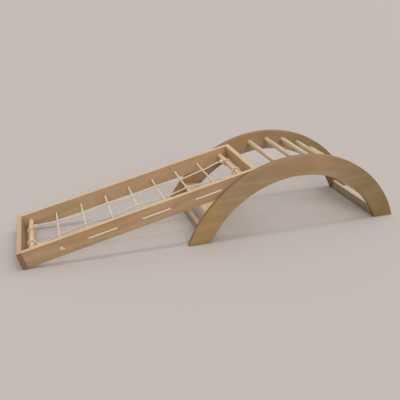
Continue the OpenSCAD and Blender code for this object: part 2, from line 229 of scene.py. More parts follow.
def even_steps(route, step):
    """Points at even lengths along the route, with two more near each end to round it off: the running
    length is the sum of the gaps, and each coordinate is read off it."""
    gaps = np.linalg.norm(np.diff(route, axis=0), axis=1)
    apart = gaps > SAME_POINT
    keep = np.concatenate([[True], apart])
    run = np.concatenate([[0], np.cumsum(gaps[apart])])
    total = run[-1]
    even = np.linspace(0, total, int(round(total / step)) + 1)
    at = np.unique(np.concatenate([even, END_RINGS, total - END_RINGS]))
    return np.stack([np.interp(at, run, column) for column in route[keep].T], 1), at


def rope_rings(route, radius, across):
    """A ring at each point: middle + r * (cos * a + sin * b), with a and b square to the line. r is the
    outline of three circles about the axis, and the ring turns once in each lay. The first and last
    rings shrink as a half circle does, which rounds the cut end. Also gives each point's place round
    the rope, as a cosine and a sine, and its length along it, for the fibres."""
    middle, at = even_steps(np.asarray(route, float), ROPE_STEP)
    tangent = np.gradient(middle, axis=0)
    tangent /= np.linalg.norm(tangent, axis=1)[:, None]
    a = np.array(across, float) - (tangent @ np.array(across, float))[:, None] * tangent
    a /= np.linalg.norm(a, axis=1)[:, None]
    b = np.cross(tangent, a)
    round_rope = 2 * np.pi * np.arange(ROPE_SIDES) / ROPE_SIDES
    off_strand = (round_rope + np.pi / 3) % (2 * np.pi / 3) - np.pi / 3
    outline = STRAND_OFF * np.cos(off_strand) + np.sqrt(
        STRAND_R ** 2 - (STRAND_OFF * np.sin(off_strand)) ** 2)
    to_end = np.clip(np.minimum(at, at[-1] - at) / radius, 0, 1)
    shrink = np.sqrt(1 - (1 - to_end) ** 2) * (1 - END_SIZE) + END_SIZE
    angle = round_rope + 2 * np.pi * (at / (LAY * radius / CORD_R))[:, None]
    reach = radius * shrink[:, None] * outline
    rings = (middle[:, None] + (reach * np.cos(angle))[..., None] * a[:, None]
             + (reach * np.sin(angle))[..., None] * b[:, None])
    way = np.stack([np.cos(angle), np.sin(angle), np.broadcast_to(at[:, None], angle.shape) * MM], 2)
    return rings, way


lace_rings = rope_rings(lace, CORD_R, SQUARE)[0]
print("laced cord: %d rings of %d points" % lace_rings.shape[:2])

# %% [markdown]
# Each rope is then a mesh of its own: the rings are joined by squares, as a tube is, and the ends are
# closed. It rides on the ramp's body, so it swings with the ramp, and stands for the plain tube that the
# CAD model has there.

# %% Rope pieces


def tube_faces(rings, sides, start):
    """Squares between ring i and the next, all round, and one flat face on each end, facing out."""
    i, j = np.meshgrid(np.arange(rings - 1), np.arange(sides), indexing="ij")
    k, m = start + i * sides + j, start + i * sides + (j + 1) % sides
    squares = np.stack([k, m, m + sides, k + sides], 2).reshape(-1, 4).tolist()
    last = start + (rings - 1) * sides
    return squares + [list(range(start + sides - 1, start - 1, -1)), list(range(last, last + sides))]


def rope_piece(name, ropes, *stands_for):
    """One mesh from several ropes, given as (route, radius, direction across). It rides on the ramp and
    stands for the CAD nodes named."""
    places, ways, faces = [], [], []
    for route, radius, across in ropes:
        rings, way = rope_rings(route, radius, across)
        faces += tube_faces(*rings.shape[:2], sum(len(p) for p in places))
        places.append(on_ramp(rings).reshape(-1, 3))
        ways.append(way.reshape(-1, 3))
    mesh = bpy.data.meshes.new(name)
    mesh.from_pydata(np.vstack(places).tolist(), [], faces)
    mesh.attributes.new("way", "FLOAT_VECTOR", "POINT").data.foreach_set(
        "vector", np.vstack(ways).astype(np.float32).ravel())
    mesh.shade_smooth()
    mesh.update()
    piece = bpy.data.objects.new(name, mesh)
    bpy.context.scene.collection.objects.link(piece)
    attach(piece, "ramp")
    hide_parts(*stands_for)
    print(name, "faces:", len(mesh.polygons))
    return piece


rope_pieces = [
    rope_piece("cross_rope", [(lace, CORD_R, SQUARE)], "net_cross_cord"),
    rope_piece("lengthwise_rope_near", [(lengthwise["near"], CORD_R, ACROSS)], "net_long_cord_near"),
    rope_piece("lengthwise_rope_far", [(lengthwise["far"], CORD_R, ACROSS)], "net_long_cord_far")]

# %% [markdown]
# ## Knots
# Two kinds hold the net. A stopper knot on the outer face keeps each end of the laced cord from pulling
# through its hole: an overhand knot, which is a trefoil seen end on. A coil of two turns ties each
# lengthwise cord to itself beside its bar. Both are rope on a curve with a formula, pulled tight, so the
# cord in them is a little thinner, and each leaves a short free end.

# %% Stopper knots
TREFOIL, LIFT = 1.8, 1.35          # the trefoil's size, and how far its cords lie over one another
TIGHT_R = 2.9                      # the cord in a knot, pulled tight
TAIL = 15                          # free end, in millimetres
LOOP_FROM, LOOP_TO = 12, 350       # degrees: what is left of the trefoil, which is cut open for the ends
TAIL_BEND = np.array([8.0, 1.5, -1.0])   # how far it bends up the ramp, off the board and down
OFF_BOARD = (0.1, 1, 0.2)          # where the rings start: a way that no part of a trefoil runs in


def stopper_knot(s, side):
    """Trefoil: s = sin t + 2 sin 2t, h = cos t - 2 cos 2t, and sin 3t for how far off the board, cut
    open at one place. The tail goes on from the last point and bends round to lie up the ramp."""
    t = np.radians(np.arange(LOOP_FROM, LOOP_TO, 6))
    up, off = np.sin(t) + 2 * np.sin(2 * t), np.cos(t) - 2 * np.cos(2 * t)
    lift = LIFT * np.sin(3 * t)
    loop = TREFOIL * np.stack([up, side * lift, off], 1)
    loop += (s, side * (KNOT_FACE + TIGHT_R + LIFT * TREFOIL), MID_H)
    going = loop[-1] - loop[-2]
    going /= np.linalg.norm(going)
    u = np.linspace(0, 1, 8)[1:, None]
    tail = loop[-1] + TAIL * u * (1 - u / 2) * going + u ** 2 * TAIL_BEND * (1, side, 1)
    return np.vstack([loop, tail])


rope_pieces.append(rope_piece(
    "stopper_knots", [(stopper_knot(run_at[0], -1), TIGHT_R, OFF_BOARD),
                      (stopper_knot(run_at[-1], 1), TIGHT_R, OFF_BOARD)], "net_end_knots"))

# %% [markdown]
# The coil beside each bar could be a ring or two pushed over the cord, but then the cord would have no
# end. Here it is the end itself, wound round in one go.

# %% Bar knots
COIL_END = 810                     # degrees: two and a quarter turns
COIL_DROOP = np.array([2.0, 0, -4.5])   # how far the free end bends away from straight
UP_COIL = (1, 0, 0.1)              # where its rings start


def coil_knot(bar, facing, lane, over):
    """Two and a quarter turns round the cord: s grows evenly with the angle, y and h go round. The turns
    start where the cord comes up from the bar, and the tail leaves sideways with a slight droop.
    facing is 1 where the knot lies up the ramp from its bar, and -1 where it lies down the ramp."""
    q = np.radians(np.arange(0, COIL_END + 1, 10))
    pitch = (KNOT_L - 2 * COIL_CORD_R) / q[-1]
    coil = np.stack([KNOT_FAR + COIL_CORD_R + pitch * q, COIL_R * np.cos(q), COIL_R * np.sin(q)], 1)
    u = np.linspace(0, 1, 8)[1:, None]
    coil = np.vstack([coil, coil[-1] + u * (1.0, -TAIL, 0) + u ** 2 * COIL_DROOP])
    return coil * (facing, 1, over) + (bar, lane, MID_H + over * WRAP_R)


coils = [(coil_knot(bar, facing, lane, over), COIL_CORD_R, UP_COIL)
         for lane, over in ((-LANE, -1), (LANE, 1)) for bar, facing in ((BAR_LOW, 1), (BAR_HIGH, -1))]
rope_pieces.append(rope_piece("bar_knots", coils, "net_bar_knots"))

# %% [markdown]
# ## Soft edges on the wood
# The CAD meshes are loose triangles, so a round rung would show its facets. Merging the doubles and
# shading the faces smooth, except across real edges, cures that. Auto smooth needs an asset file, so a
# small geometry node group does the same. It moves nothing.

# %% Smooth the round wood
SHARP_FROM = 32                    # degrees of bend: a round's facets turn by less, a corner by more
MERGE_WITHIN = 1e-6                # metres


def smooth_group():
    """Merge points that coincide, shade faces smooth, and keep an edge sharp where it bends enough."""
    tree = bpy.data.node_groups.new("smooth_round_faces", "GeometryNodeTree")
    tree.interface.new_socket(name="Geometry", in_out="INPUT", socket_type="NodeSocketGeometry")
    tree.interface.new_socket(name="Geometry", in_out="OUTPUT", socket_type="NodeSocketGeometry")
    source, sink = tree.nodes.new("NodeGroupInput"), tree.nodes.new("NodeGroupOutput")
    merge = tree.nodes.new("GeometryNodeMergeByDistance")
    merge.inputs["Distance"].default_value = MERGE_WITHIN
    faces, edges = (tree.nodes.new("GeometryNodeSetShadeSmooth") for _ in range(2))
    edges.domain = "EDGE"
    edges.inputs["Shade Smooth"].default_value = False
    bend = tree.nodes.new("GeometryNodeInputMeshEdgeAngle")
    sharp = tree.nodes.new("FunctionNodeCompare")
    sharp.operation = "GREATER_THAN"
    sharp.inputs["B"].default_value = math.radians(SHARP_FROM)
    for a, b in ((source.outputs[0], merge.inputs["Geometry"]),
                 (merge.outputs["Geometry"], faces.inputs["Geometry"]),
                 (faces.outputs["Geometry"], edges.inputs["Geometry"]),
                 (bend.outputs["Unsigned Angle"], sharp.inputs["A"]),
                 (sharp.outputs["Result"], edges.inputs["Selection"]),
                 (edges.outputs["Geometry"], sink.inputs[0])):
        tree.links.new(a, b)
    return tree


smoothing = smooth_group()
wood_nodes = [name for name in nodes if not name.startswith("net_")]
for name in wood_nodes:
    nodes[name].modifiers.new("smooth", "NODES").node_group = smoothing
    weigh = nodes[name].modifiers.new("weigh", "WEIGHTED_NORMAL")
    weigh.keep_sharp = True
print("smoothed:", len(wood_nodes), "nodes")

# %% [markdown]
# ## A short way to write shader nodes
# A material is a tree of nodes. One helper adds a node, sets it up and wires its inputs, so that the
# finishes below read like sentences. A value that is a socket is linked, and any other is set.

# %% Node helpers


def put(tree, kind, settings=None, **inputs):
    """Adds a node. Settings are its own properties. An input's name has _ for each space, and a number
    after i picks it by its place."""
    node = tree.nodes.new(kind)
    for name, value in (settings or {}).items():
        setattr(node, name, value)
    for name, value in inputs.items():
        key = int(name[1:]) if name[0] == "i" and name[1:].isdigit() else name.replace("_", " ")
        if isinstance(value, bpy.types.NodeSocket):
            tree.links.new(value, node.inputs[key])
        else:
            node.inputs[key].default_value = value
    return node


def maths(tree, operation, *values):
    """One arithmetic step on up to three values."""
    kind = {"operation": operation}
    return put(tree, "ShaderNodeMath", kind, **{"i%d" % i: v for i, v in enumerate(values)}).outputs[0]


def smooth_step(tree, value, low, high):
    """A smooth step: 0 below low, 1 above high. Where low is the greater, 0 above it, 1 below high."""
    return put(tree, "ShaderNodeMapRange", {"interpolation_type": "SMOOTHSTEP"}, Value=value,
               From_Min=low, From_Max=high).outputs["Result"]


def mix_colour(tree, share, first, second, blend="MIX"):
    """Colour first where share is 0, second where it is 1."""
    return put(tree, "ShaderNodeMix", {"data_type": "RGBA", "blend_type": blend},
               i0=share, i6=first, i7=second).outputs[2]


def new_group(name, inputs, outputs):
    """An empty shader group with these sockets: (name, kind, default) in, (name, kind) out."""
    tree = bpy.data.node_groups.new(name, "ShaderNodeTree")
    for label, kind, value in inputs:
        socket = tree.interface.new_socket(name=label, in_out="INPUT", socket_type="NodeSocket" + kind)
        if value is not None:
            socket.default_value = value
    for label, kind in outputs:
        tree.interface.new_socket(name=label, in_out="OUTPUT", socket_type="NodeSocket" + kind)
    return tree, tree.nodes.new("NodeGroupInput").outputs, tree.nodes.new("NodeGroupOutput")


def use_group(tree, group, **inputs):
    """Places a group in a material, with this material's own values."""
    return put(tree, "ShaderNodeGroup", {"node_tree": group}, **inputs).outputs


helpers = (put, maths, smooth_step, mix_colour, new_group, use_group)
print("helpers:", ", ".join(helper.__name__ for helper in helpers))

# %% [markdown]
# ## Colours
# A shader counts in amounts of light, and a screen doesn't: half the light looks much more than half as
# bright. Colours are easier to choose as they look, so a small helper turns them into light.

# %% Colours as they look


def rgb(red, green, blue):
    """A colour as it is seen on a screen, 0 to 255, turned into the linear values that shaders use."""
    share = np.array([red, green, blue]) / 255
    linear = np.where(share <= 0.04045, share / 12.92, ((share + 0.055) / 1.055) ** 2.4)
    return (*linear.tolist(), 1.0)


print("white in linear:", rgb(255, 255, 255))

# %% [markdown]
# ## Wood figure
# Every wooden piece needs grain: broad figure where the saw or the veneer knife met the year rings, fine
# fibres along the wood, and short dark pores. An image would blur close up and repeat, so all three come
# from noise that is stretched along X. The group reads coordinates whose X runs with the grain, so one
# group serves every board, whichever way it lies. Contour lines of a smooth noise look like year rings.

# %% Group: wood figure
FIGURE_STRETCH = 0.14              # the broad figure is about seven times as long as it is wide
FIBRES, PORES, CLOUDS = (14, 700, 2.0), (60, 1500, 1.0), (2.2, 9, 3.0)   # along, across, detail
PORE_CUT = (0.66, 0.74)            # only the noise's highest places are pores
FIBRE_RELIEF = 0.6                 # how far fibres stand out, where a pore goes in by 1
figure, given, result = new_group(
    "wood_figure",
    [("Vector", "Vector", None), ("Figure Size", "Float", 7.0), ("Rings", "Float", 9.0)],
    [("Figure", "Float"), ("Fibre", "Float"), ("Pores", "Float"), ("Cloud", "Float"),
     ("Height", "Float")])


def stretched(along, across, detail):
    """Noise in coordinates scaled by along in X and across in Y and Z, in cycles per metre."""
    scaled = put(figure, "ShaderNodeVectorMath", {"operation": "MULTIPLY"},
                 i0=given["Vector"], i1=(along, across, across))
    return put(figure, "ShaderNodeTexNoise", None, Vector=scaled.outputs[0], Scale=1.0,
               Detail=detail, Roughness=0.5).outputs["Fac"]


sized = put(figure, "ShaderNodeVectorMath", {"operation": "MULTIPLY"},
            i0=given["Vector"], i1=(FIGURE_STRETCH, 1.0, 1.0))
hills = put(figure, "ShaderNodeTexNoise", None, Vector=sized.outputs[0],
            Scale=given["Figure Size"], Detail=1.5, Roughness=0.45).outputs["Fac"]
lines = maths(figure, "SINE", maths(figure, "MULTIPLY", maths(figure, "MULTIPLY", hills,
              given["Rings"]), 2 * math.pi))
fibre = stretched(*FIBRES)
pores = smooth_step(figure, stretched(*PORES), *PORE_CUT)
height = maths(figure, "SUBTRACT", maths(figure, "MULTIPLY", fibre, FIBRE_RELIEF), pores)
for label, value in (("Figure", maths(figure, "MULTIPLY_ADD", lines, 0.5, 0.5)), ("Fibre", fibre),
                     ("Pores", pores), ("Cloud", stretched(*CLOUDS)), ("Height", height)):
    figure.links.new(value, result.inputs[label])
print("wood figure nodes:", len(figure.nodes))

# %% [markdown]
# ## Plies
# The curved sides and the ramp's boards are birch plywood: thin veneers glued with the grain turned a
# quarter at each layer. The faces show one veneer, and every edge shows the stack as fine stripes. So
# plywood is made as a solid: the depth through the board says which ply a point is in, and that is right
# on a straight edge, a curved rim and inside a hole alike. The group gives which ply, whether its grain
# runs across, and the thin dark glue lines.

# %% Group: ply stack
BOARD, PLIES = 0.018, 13.0         # a board's thickness in metres, and its number of plies
JUST_INSIDE = 0.998                # keeps the board's two faces within the outermost plies
GLUE = (0.02, 0.11)                # a glue line's width, in plies: full to here, gone from here
FACE_FROM = (0.455, 0.47)          # from the board's middle, in its thickness: edge up to here, then face
stack, given, result = new_group(
    "ply_stack",
    [("Depth", "Float", 0.0), ("Thickness", "Float", BOARD)],
    [("Ply", "Float"), ("Cross", "Float"), ("Glue", "Float"), ("Edge", "Float")])
share = maths(stack, "MULTIPLY_ADD", maths(stack, "DIVIDE", given["Depth"], given["Thickness"]),
              JUST_INSIDE, 0.5)
level = maths(stack, "MULTIPLY", share, PLIES)
ply = maths(stack, "FLOOR", level)
from_glue = maths(stack, "PINGPONG", level, 0.5)
from_middle = maths(stack, "ABSOLUTE", maths(stack, "SUBTRACT", share, 0.5))
for label, value in (("Ply", ply), ("Cross", maths(stack, "MODULO", ply, 2.0)),
                     ("Glue", maths(stack, "SUBTRACT", 1.0, smooth_step(stack, from_glue, *GLUE))),
                     ("Edge", maths(stack, "SUBTRACT", 1.0,
                                    smooth_step(stack, from_middle, *FACE_FROM)))):
    stack.links.new(value, result.inputs[label])
print("ply stack nodes: %d, one ply %.2f mm" % (len(stack.nodes), BOARD / MM / PLIES))

# %% [markdown]
# ## Handling
# A thing that children climb on isn't evenly clean. Hands leave faint darker patches in the oil finish,
# and the feet pick up grey from the floor. Both depend on the place on the object and not on the grain,
# so they are a group of their own, which the wood and the rope share.

# %% Group: handling
PATCHES = 11.0                     # hand marks, about as many to the metre
MARKED = (0.42, 0.72)              # of the patches' noise: clean up to here, marked from here
GRIME_TO = 0.055                   # metres above the floor
RAGGED = 0.05                      # metres by which the grime's upper edge wanders
handling, given, result = new_group(
    "handling", [("Vector", "Vector", None), ("Floor Grime", "Float", 0.0)],
    [("Smudge", "Float"), ("Grime", "Float")])
patches = put(handling, "ShaderNodeTexNoise", None, Vector=given["Vector"], Scale=PATCHES, Detail=4.0,
              Roughness=0.62).outputs["Fac"]
height_up = put(handling, "ShaderNodeSeparateXYZ", None, Vector=given["Vector"]).outputs["Z"]
ragged = maths(handling, "MULTIPLY_ADD", patches, RAGGED, -RAGGED / 2)
low = maths(handling, "SUBTRACT", 1.0,
            smooth_step(handling, maths(handling, "ADD", height_up, ragged), 0.0, GRIME_TO))
handling.links.new(smooth_step(handling, patches, *MARKED), result.inputs["Smudge"])
handling.links.new(maths(handling, "MULTIPLY", low, given["Floor Grime"]), result.inputs["Grime"])
print("handling nodes:", len(handling.nodes))

# %% [markdown]
# ## What all the materials share
# Every material here starts with one Principled shader, gets a little relief, and if it is wood, reads
# its grain from coordinates turned to suit the piece and ends with pores, hand marks and floor grime.
# These steps are written once. They stay outside the groups, because each also sets something on the
# material's own shader, or works on its own colour.

# %% Shared steps
WOOD_GLOSS = 0.35
PORE_BROWN, PORE_SHARE = rgb(96, 66, 40), 0.28
HAND_BROWN, HAND_SHARE = rgb(128, 92, 56), 0.14
FLOOR_GREY, FLOOR_SHARE = rgb(92, 78, 62), 0.22


def start_material(name, roughness, gloss):
    """A material with one Principled shader, and its node tree."""
    material = bpy.data.materials.new(name)
    material.use_nodes = True
    shader = material.node_tree.nodes["Principled BSDF"]
    shader.inputs["Roughness"].default_value = roughness
    shader.inputs["Specular IOR Level"].default_value = gloss
    return material, material.node_tree, shader


def bump(tree, shader, height, depth):
    """Small relief from a height value; depth is in metres."""
    made = put(tree, "ShaderNodeBump", None, Strength=1.0, Distance=depth, Height=height)
    tree.links.new(made.outputs["Normal"], shader.inputs["Normal"])


def board_coordinates(tree, place, middle, turn):
    """X along the grain, Y through the board and Z across it, from the board's middle."""
    centred = put(tree, "ShaderNodeVectorMath", {"operation": "SUBTRACT"}, i0=place, i1=middle)
    return put(tree, "ShaderNodeMapping", {"vector_type": "POINT"}, Vector=centred.outputs[0],
               Rotation=turn).outputs[0]


def tone_of(tree, grain, fibre, figured, cloud, start):
    """How dark the wood is, about 0 to 1: start, and shares of its fibre, figure and cloud, added up."""
    return maths(tree, "MULTIPLY_ADD", grain["Fibre"], fibre, maths(
        tree, "MULTIPLY_ADD", grain["Figure"], figured, maths(
            tree, "MULTIPLY_ADD", grain["Cloud"], cloud, start)))


def soiled(tree, colour, touch, pores):
    """The last layers on any wood: dark pores, faint hand marks and grey low down."""
    colour = mix_colour(tree, maths(tree, "MULTIPLY", pores, PORE_SHARE), colour, PORE_BROWN)
    colour = mix_colour(tree, maths(tree, "MULTIPLY", touch["Smudge"], HAND_SHARE), colour, HAND_BROWN)
    return mix_colour(tree, touch["Grime"], colour, FLOOR_GREY)


def dress(name, material):
    """Puts one material on a CAD node."""
    nodes[name].data.materials.clear()
    nodes[name].data.materials.append(material)


steps = (start_material, bump, board_coordinates, tone_of, soiled, dress)
print("shared steps:", ", ".join(step.__name__ for step in steps))

# %% [markdown]
# ## Plywood boards
# Each board gets its own plywood, because its grain and its layers run its own way: along the arch and
# the ramp, or across both. A Mapping node turns the object's coordinates so that X is the grain and Y the
# depth from the board's middle. A different starting point along the grain keeps two boards from showing
# the same figure. The colour goes on in the order in which it comes about on real wood: the veneer's
# figure on the faces, the stack of plies on the edges, uneven ageing over both, dark ends, and dirt last.

# %% Plywood
NO_ENDS = 9.0                      # metres: farther than any board reaches, so no end grain shows
NEXT_VENEER = 3.7                  # metres of noise between one ply's figure and the next one's
VENEER_TONE = (0.7, 0.34, 0.7, -0.37)      # shares of fibre, figure and cloud, and the start
HEART, HEART_SHARE = (0.52, 0.7), 0.6      # redder heartwood comes in between these clouds, so strongly
EDGE_FIBRE, EDGE_GLUE = 0.35, 0.7          # how much fibre and glue darken an edge
END_SKIN = (0.0008, 0.0002)                # metres short of an end: the dark comes in from, and to
END_GRAIN, END_SHARE = rgb(104, 70, 40), 0.75
OILED, SAWN, HANDLED = 0.5, 0.14, 0.1      # roughness of a face, more on a sawn edge, less under hands
RELIEF, GLUE_DIP = 0.00012, 0.8            # metres, and how much of it a glue line goes in


def plywood(name, middle, turn, veneer_number, face, edge, tints_along=(), thickness=BOARD, end_at=NO_ENDS):
    """Plywood about a plane through middle. turn brings the grain onto X and the depth onto Y. face is
    (pale, dark, heart) for the veneer, and edge is (long ply, cross ply, glue) for the stack. The tints
    along the grain are a list, each with the two places between which it comes in; the right leg's darker,
    browner tint is partly painted shade. Wood drinks the finish at its end grain, so past end_at from the
    middle the colour goes dark."""
    material, tree, shader = start_material(name, OILED, WOOD_GLOSS)
    place = put(tree, "ShaderNodeTexCoord").outputs["Object"]
    x, depth, z = put(tree, "ShaderNodeSeparateXYZ", None,
                      Vector=board_coordinates(tree, place, middle, turn)).outputs
    plies = use_group(tree, stack, Depth=depth, Thickness=thickness)
    # each ply is its own veneer: its number stands in for the depth, and a cross ply swaps X and Z
    veneer = maths(tree, "MULTIPLY_ADD", plies["Ply"], NEXT_VENEER, veneer_number)
    along = put(tree, "ShaderNodeCombineXYZ", None, X=x, Y=veneer, Z=z).outputs[0]
    across = put(tree, "ShaderNodeCombineXYZ", None, X=z, Y=veneer, Z=x).outputs[0]
    lie = put(tree, "ShaderNodeMix", {"data_type": "VECTOR"}, i0=plies["Cross"], i4=along,
              i5=across).outputs[1]
    grain = use_group(tree, figure, Vector=lie)
    touch = use_group(tree, handling, Vector=place, Floor_Grime=FLOOR_SHARE)
    tone = tone_of(tree, grain, *VENEER_TONE)
    heart = maths(tree, "MULTIPLY", smooth_step(tree, grain["Cloud"], *HEART), HEART_SHARE)
    veneer_colour = mix_colour(tree, heart, mix_colour(tree, tone, face[0], face[1]), face[2])
    ply_colour = mix_colour(tree, plies["Cross"], edge[0], edge[1])
    ply_colour = mix_colour(tree, maths(tree, "MULTIPLY", grain["Fibre"], EDGE_FIBRE), ply_colour, edge[1])
    ply_colour = mix_colour(tree, maths(tree, "MULTIPLY", plies["Glue"], EDGE_GLUE), ply_colour, edge[2])
    colour = mix_colour(tree, plies["Edge"], veneer_colour, ply_colour)
    # tints along the grain: the right leg's darker, browner one is partly painted shade
    for reach, tint in tints_along:
        colour = mix_colour(tree, smooth_step(tree, x, *reach), colour, tint, "MULTIPLY")
    end = smooth_step(tree, maths(tree, "ABSOLUTE", x), *(end_at - skin for skin in END_SKIN))
    colour = mix_colour(tree, maths(tree, "MULTIPLY", end, END_SHARE), colour, END_GRAIN)
    tree.links.new(soiled(tree, colour, touch, grain["Pores"]), shader.inputs["Base Color"])
    sawn = maths(tree, "MULTIPLY_ADD", plies["Edge"], SAWN, OILED)
    tree.links.new(maths(tree, "MULTIPLY_ADD", touch["Smudge"], -HANDLED, sawn),
                   shader.inputs["Roughness"])
    glue_line = maths(tree, "MULTIPLY", maths(tree, "MULTIPLY", plies["Glue"], plies["Edge"]), GLUE_DIP)
    bump(tree, shader, maths(tree, "SUBTRACT", grain["Height"], glue_line), RELIEF)
    return material


print("plywood relief: %.2f mm" % (RELIEF / MM))

# %% [markdown]
# The colours are the photograph's, and a maker would know them: the arch's faces and rim are oiled
# brown, the ramp's faces are paler with its edges left as sawn, and the rails between the feet are
# paler still, partly as painted light that lifts them out of the shade under the ramp and the arch. One
# leg of the arch goes darker and browner towards its foot, partly as painted shade, and the other goes
# yellower. Some boards are painted lighter or darker than their fellows, as painted light and shade for
# the light that each one gets.

# %% Board colours
ARCH_FACE = (rgb(180, 155, 122), rgb(151, 126, 94), rgb(177, 137, 89))
ARCH_EDGE = (rgb(170, 142, 108), rgb(148, 119, 88), rgb(114, 87, 61))
RAMP_FACE = (rgb(196, 166, 131), rgb(165, 135, 101), rgb(192, 142, 90))
RAMP_EDGE = (rgb(234, 214, 182), rgb(212, 184, 146), rgb(166, 134, 98))
# painted light in part: the rails are made paler to lift their faces and tops out of the shade under the
# ramp and the arch
RAIL_FACE = (rgb(198, 184, 162), rgb(180, 165, 142), rgb(188, 162, 128))
RAIL_EDGE = (rgb(242, 228, 206), rgb(226, 208, 182), rgb(170, 146, 116))
# the two places between which a leg's tint comes in, in metres along X, and the tint
# painted shade in part: the right leg goes darker and browner towards its foot, for less light there as
# well as browner wood
RIGHT_LEG = ((0.42, 0.66), (0.70, 0.72, 0.56, 1))
LEFT_LEG = ((0.0, -0.06), (1.07, 1.0, 0.76, 1))


def with_painted_light(colours, share):
    """The same colours with their light multiplied by share: painted light and shade for a board that gets
    more or less light than its fellows.
    """
    return tuple((*(share * part for part in colour[:3]), 1.0) for colour in colours)


print("arch face, as light:", np.round(ARCH_FACE[0][:3], 3).tolist())

# %% [markdown]
# Last, each board's middle and the way its grain runs. The middles come from the CAD model's own
# numbers, because the plies have to be counted from the middle of the very board that they are in.

# %% Dress the boards
ARCH_MID, SIDE_MID = 0.1785, 0.156      # the middles of a curved side and of a ramp side, across
FOOT_MID, HEAD_MID = -9.5, 915          # those of the ramp's foot and head boards, up the ramp
FOOT_BOARD, FOOT_END = 0.019, 0.165     # the foot board's thickness, and how far out its ends show
FLAT, UP = (0, 0, 0), (0, TILT, 0)      # grain along X, and grain up the ramp
FLAT_ACROSS, UP_ACROSS = (0, 0, math.pi / 2), (0, TILT, math.pi / 2)   # grain along Y
at_hinge = np.array([hinge[0], 0, hinge[2]])


def rail_middle(name):
    """The middle of a CAD node's box."""
    low, high = (np.array(corner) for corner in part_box(name))
    return tuple(((low + high) / 2).tolist())


# board: (middle, way of the grain, veneer number, face, edge, then tints along the grain, thickness and
# ends)
boards = {
    "arch_side_near": ((0, -ARCH_MID, 0), FLAT, 0.0, ARCH_FACE, ARCH_EDGE, (RIGHT_LEG, LEFT_LEG)),
    "arch_side_far": ((0, ARCH_MID, 0), FLAT, 41.3, ARCH_FACE, ARCH_EDGE, (RIGHT_LEG, LEFT_LEG)),
    "ramp_side_near": (tuple(at_hinge - (0, SIDE_MID, 0)), UP, 83.1, RAMP_FACE, RAMP_EDGE),
    # painted light: the far side is made lighter for the light bounced onto its inner face
    "ramp_side_far": (tuple(at_hinge + (0, SIDE_MID, 0)), UP, 127.9, with_painted_light(RAMP_FACE, 1.1),
                      RAMP_EDGE),
    # painted shade: the foot board is made darker for its faces turned away from the light
    "ramp_foot_board": (tuple(on_ramp((FOOT_MID, 0, MID_H))), UP_ACROSS, 171.4,
                        with_painted_light(RAMP_FACE, 0.85), with_painted_light(RAMP_EDGE, 0.85), (), FOOT_BOARD, FOOT_END),
    # painted light: the head board is made much lighter for a face that the light misses
    "ramp_head_board": (tuple(on_ramp((HEAD_MID, 0, MID_H))), UP_ACROSS, 203.8,
                        with_painted_light(RAMP_FACE, 1.4), RAMP_EDGE),
    "foot_rail_left": (rail_middle("foot_rail_left"), FLAT_ACROSS, 251.2, RAIL_FACE, RAIL_EDGE),
    "foot_rail_right": (rail_middle("foot_rail_right"), FLAT_ACROSS, 293.6, RAIL_FACE, RAIL_EDGE),
}
for name, board in boards.items():
    dress(name, plywood("ply_" + name, *board))
print("plywood boards:", len(boards))

# %% [markdown]
# ## Step boards and dowels
# The step boards are planed slats, and the rungs, the bars and the hook dowel are turned. All are of a
# paler wood than the oiled veneer: creamy slats, warm bars on the ramp and greyer rungs on the arch.
# The figure group serves again, cut through a solid: year rings run on from a board's top into its
# edge, as in real wood, because the noise is read in three dimensions.

# %% Step boards and dowels
SOLID_TONE = (0.6, 0.5, 0.5, -0.35)        # shares of fibre, figure and cloud, and the start
POLISHED = 0.12                    # how much smoother hands make it
DOWEL_RELIEF = 0.0001              # metres


def solid_wood(name, pale, dark, size, rings, roughness):
    """Solid wood with its grain along Y. size sets how broad the figure is and rings how many lines."""
    material, tree, shader = start_material(name, roughness, WOOD_GLOSS)
    place = put(tree, "ShaderNodeTexCoord").outputs["Object"]
    turned = board_coordinates(tree, place, (0, 0, 0), FLAT_ACROSS)
    grain = use_group(tree, figure, Vector=turned, Figure_Size=size, Rings=rings)
    touch = use_group(tree, handling, Vector=place, Floor_Grime=FLOOR_SHARE)
    colour = mix_colour(tree, tone_of(tree, grain, *SOLID_TONE), pale, dark)
    tree.links.new(soiled(tree, colour, touch, grain["Pores"]), shader.inputs["Base Color"])
    tree.links.new(maths(tree, "MULTIPLY_ADD", touch["Smudge"], -POLISHED, roughness),
                   shader.inputs["Roughness"])
    bump(tree, shader, grain["Height"], DOWEL_RELIEF)
    return material


# name, pale, dark, size, rings, roughness
slat_wood = solid_wood("slat_wood", rgb(240, 222, 186), rgb(218, 190, 148), 16.0, 10.0, 0.5)
bar_wood = solid_wood("bar_wood", rgb(236, 214, 178), rgb(212, 182, 140), 22.0, 8.0, 0.45)
rung_wood = solid_wood("rung_wood", rgb(223, 211, 188), rgb(198, 178, 148), 22.0, 8.0, 0.5)
pin_wood = solid_wood("pin_wood", rgb(206, 172, 128), rgb(168, 128, 84), 40.0, 6.0, 0.6)
for name in wood_nodes:
    if name.endswith("_pins"):
        dress(name, pin_wood)
    elif name.startswith("step_board"):
        dress(name, slat_wood)
    elif name.startswith("ramp_bar"):
        dress(name, bar_wood)
    elif name.startswith("arch_rung") or name == "hook_dowel":
        dress(name, rung_wood)
print("step boards, dowels and pins dressed")

# %% [markdown]
# ## Screws
# The foot board is held with countersunk screws of bright zinc. Four heads are all that shows, so the
# finish is short: metal with a fine turned pattern, a little dull.

